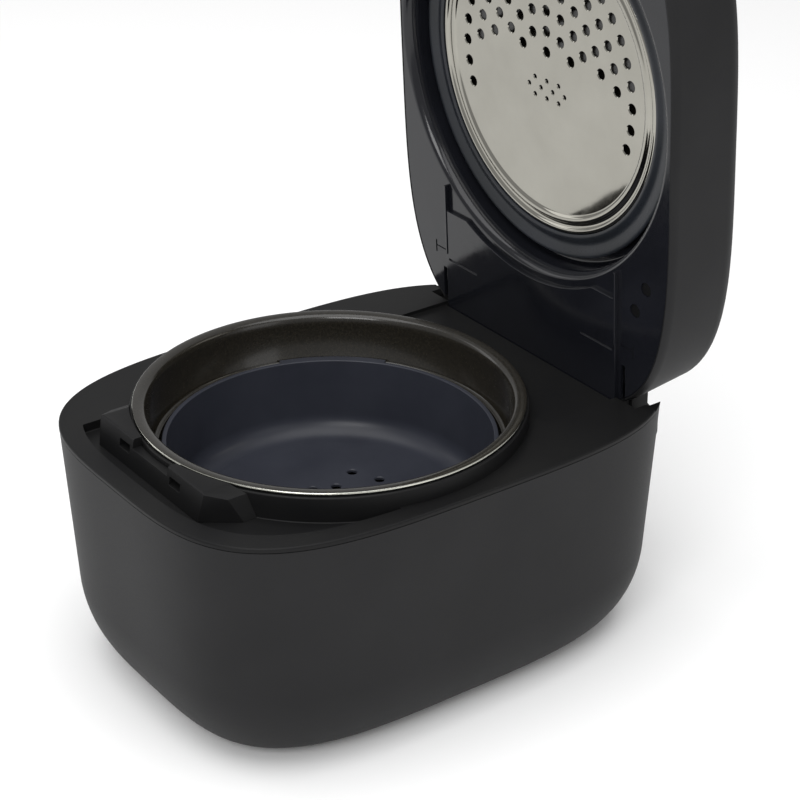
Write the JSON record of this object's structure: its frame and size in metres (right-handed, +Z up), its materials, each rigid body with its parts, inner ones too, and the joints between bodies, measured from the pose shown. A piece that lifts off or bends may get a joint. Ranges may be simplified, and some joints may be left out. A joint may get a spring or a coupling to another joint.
{
  "type": "rice cooker",
  "caption": "Countertop rice cooker with a hinged lid standing open, a lift-out non-stick pot, a steam basket and a detachable steel inner lid.",
  "frame": {"origin": "on the table, at the centre of the box around the cooker with its lid open", "axes": "+X to the right as seen from the front, +Y to the back where the hinge is, +Z up"},
  "size_m": [0.269, 0.3737, 0.5066],
  "materials": {
    "casing": "satin fine-textured charcoal",
    "deck": "satin moulded black",
    "gloss": "glossy blue-black",
    "slate": "soft satin silicone",
    "basket": "satin slate grey",
    "pot": "non-stick coating, semi-gloss",
    "mirror_steel": "polished stainless steel",
    "steel": "plain zinc-plated steel",
    "aluminium": "cast and turned",
    "rubber": "matt",
    "board": "circuit board",
    "part_light": "moulded component",
    "part_blue": "sleeved capacitor",
    "winding": "taped winding",
    "insulation": "pressed fibre",
    "brass": "plated blade",
    "glass": "smoked window",
    "display": "segment display"
  },
  "bodies": {
    "base": {"outer_casing": "casing", "top_deck": "deck", "latch_catch": "deck", "hinge_well": "deck", "bottom_cover": "deck", "feet": "rubber", "cover_screws": "steel", "inner_can": "steel", "band_heater": "insulation", "heating_plate": "aluminium", "heater_terminals": "steel", "sensor_guide": "steel", "power_board": "board", "board_posts": "deck", "power_transformer": "winding", "power_relay": "part_light", "power_capacitors": "part_blue", "inlet_socket": "rubber", "inlet_pins": "brass", "hinge_brackets": "deck", "hinge_pin": "steel"},
    "plate_sensor": {"sensor_cap": "aluminium", "sensor_spring": "steel"},
    "pot": {"inner_pot": "pot"},
    "basket": {"steam_basket": "basket"},
    "lid": {"lid_shell": "casing", "lid_inner_frame": "gloss", "hinge_panel": "gloss", "frame_plugs": "rubber", "hinge_barrel_left": "deck", "hinge_barrel_right": "deck", "hinge_springs": "steel", "lid_heater_plate": "pot", "lid_insulation": "insulation", "steam_tube": "gloss", "steam_cup": "deck", "control_fascia": "gloss", "display_window": "glass", "display_module": "display", "control_board": "board", "latch_guides": "deck", "lid_screws": "steel"},
    "steam_vent_cap": {"steam_cap": "gloss", "steam_cap_seal": "rubber"},
    "inner_lid": {"inner_lid_plate": "mirror_steel", "inner_lid_gasket": "slate"},
    "release": {"release_button": "gloss"},
    "latch": {"latch_bar": "steel", "latch_spring": "steel"},
    "key_menu": {"button_menu": "gloss"},
    "key_timer": {"button_timer": "gloss"},
    "key_warm": {"button_warm": "gloss"},
    "key_start": {"button_start": "gloss"},
    "key_hour": {"button_hour": "gloss"},
    "key_minute": {"button_minute": "gloss"}
  },
  "joints": [
    {"name": "lid_hinge", "type": "hinge", "parent": "base", "child": "lid", "pos_m": [0, 0.14022, 0.18065], "axis": [-1, 0, 0], "range_deg": [-87.09, 0], "stiffness_Nm_per_rad": 1.5, "springref_deg": 17.19},
    {"name": "pot_lift", "type": "slide", "parent": "base", "child": "pot", "axis": [0, 0, 1], "range_m": [0, 0.15]},
    {"name": "basket_lift", "type": "slide", "parent": "pot", "child": "basket", "axis": [0, 0, 1], "range_m": [0, 0.08]},
    {"name": "sensor_press", "type": "slide", "parent": "base", "child": "plate_sensor", "axis": [0, 0, 1], "range_m": [-0.003, 0], "stiffness_N_per_m": 600, "springref_m": 0.002, "deforming": ["sensor_spring"]},
    {"name": "inner_lid_release", "type": "slide", "parent": "lid", "child": "inner_lid", "axis": [0, -0.9987, -0.0508], "range_m": [0, 0.025]},
    {"name": "steam_cap_lift", "type": "slide", "parent": "lid", "child": "steam_vent_cap", "axis": [0, 0.9987, 0.0508], "range_m": [0, 0.03]},
    {"name": "release_press", "type": "slide", "parent": "lid", "child": "release", "axis": [0, -0.9987, -0.0508], "range_m": [0, 0.004], "stiffness_N_per_m": 900, "springref_m": -0.002},
    {"name": "latch_slide", "type": "slide", "parent": "lid", "child": "latch", "axis": [0, -0.0508, 0.9987], "range_m": [0, 0.004]},
    {"name": "menu_press", "type": "slide", "parent": "lid", "child": "key_menu", "axis": [0, -0.9987, -0.0508], "range_m": [0, 0.0012], "stiffness_N_per_m": 1200, "springref_m": -0.001},
    {"name": "timer_press", "type": "slide", "parent": "lid", "child": "key_timer", "axis": [0, -0.9987, -0.0508], "range_m": [0, 0.0012], "stiffness_N_per_m": 1200, "springref_m": -0.001},
    {"name": "warm_press", "type": "slide", "parent": "lid", "child": "key_warm", "axis": [0, -0.9987, -0.0508], "range_m": [0, 0.0012], "stiffness_N_per_m": 1200, "springref_m": -0.001},
    {"name": "start_press", "type": "slide", "parent": "lid", "child": "key_start", "axis": [0, -0.9987, -0.0508], "range_m": [0, 0.0012], "stiffness_N_per_m": 1200, "springref_m": -0.001},
    {"name": "hour_press", "type": "slide", "parent": "lid", "child": "key_hour", "axis": [0, -0.9987, -0.0508], "range_m": [0, 0.0012], "stiffness_N_per_m": 1200, "springref_m": -0.001},
    {"name": "minute_press", "type": "slide", "parent": "lid", "child": "key_minute", "axis": [0, -0.9987, -0.0508], "range_m": [0, 0.0012], "stiffness_N_per_m": 1200, "springref_m": -0.001}
  ],
  "couplings": [
    {"joint": "latch_slide", "follows": "release_press", "ratio": 1}
  ]
}
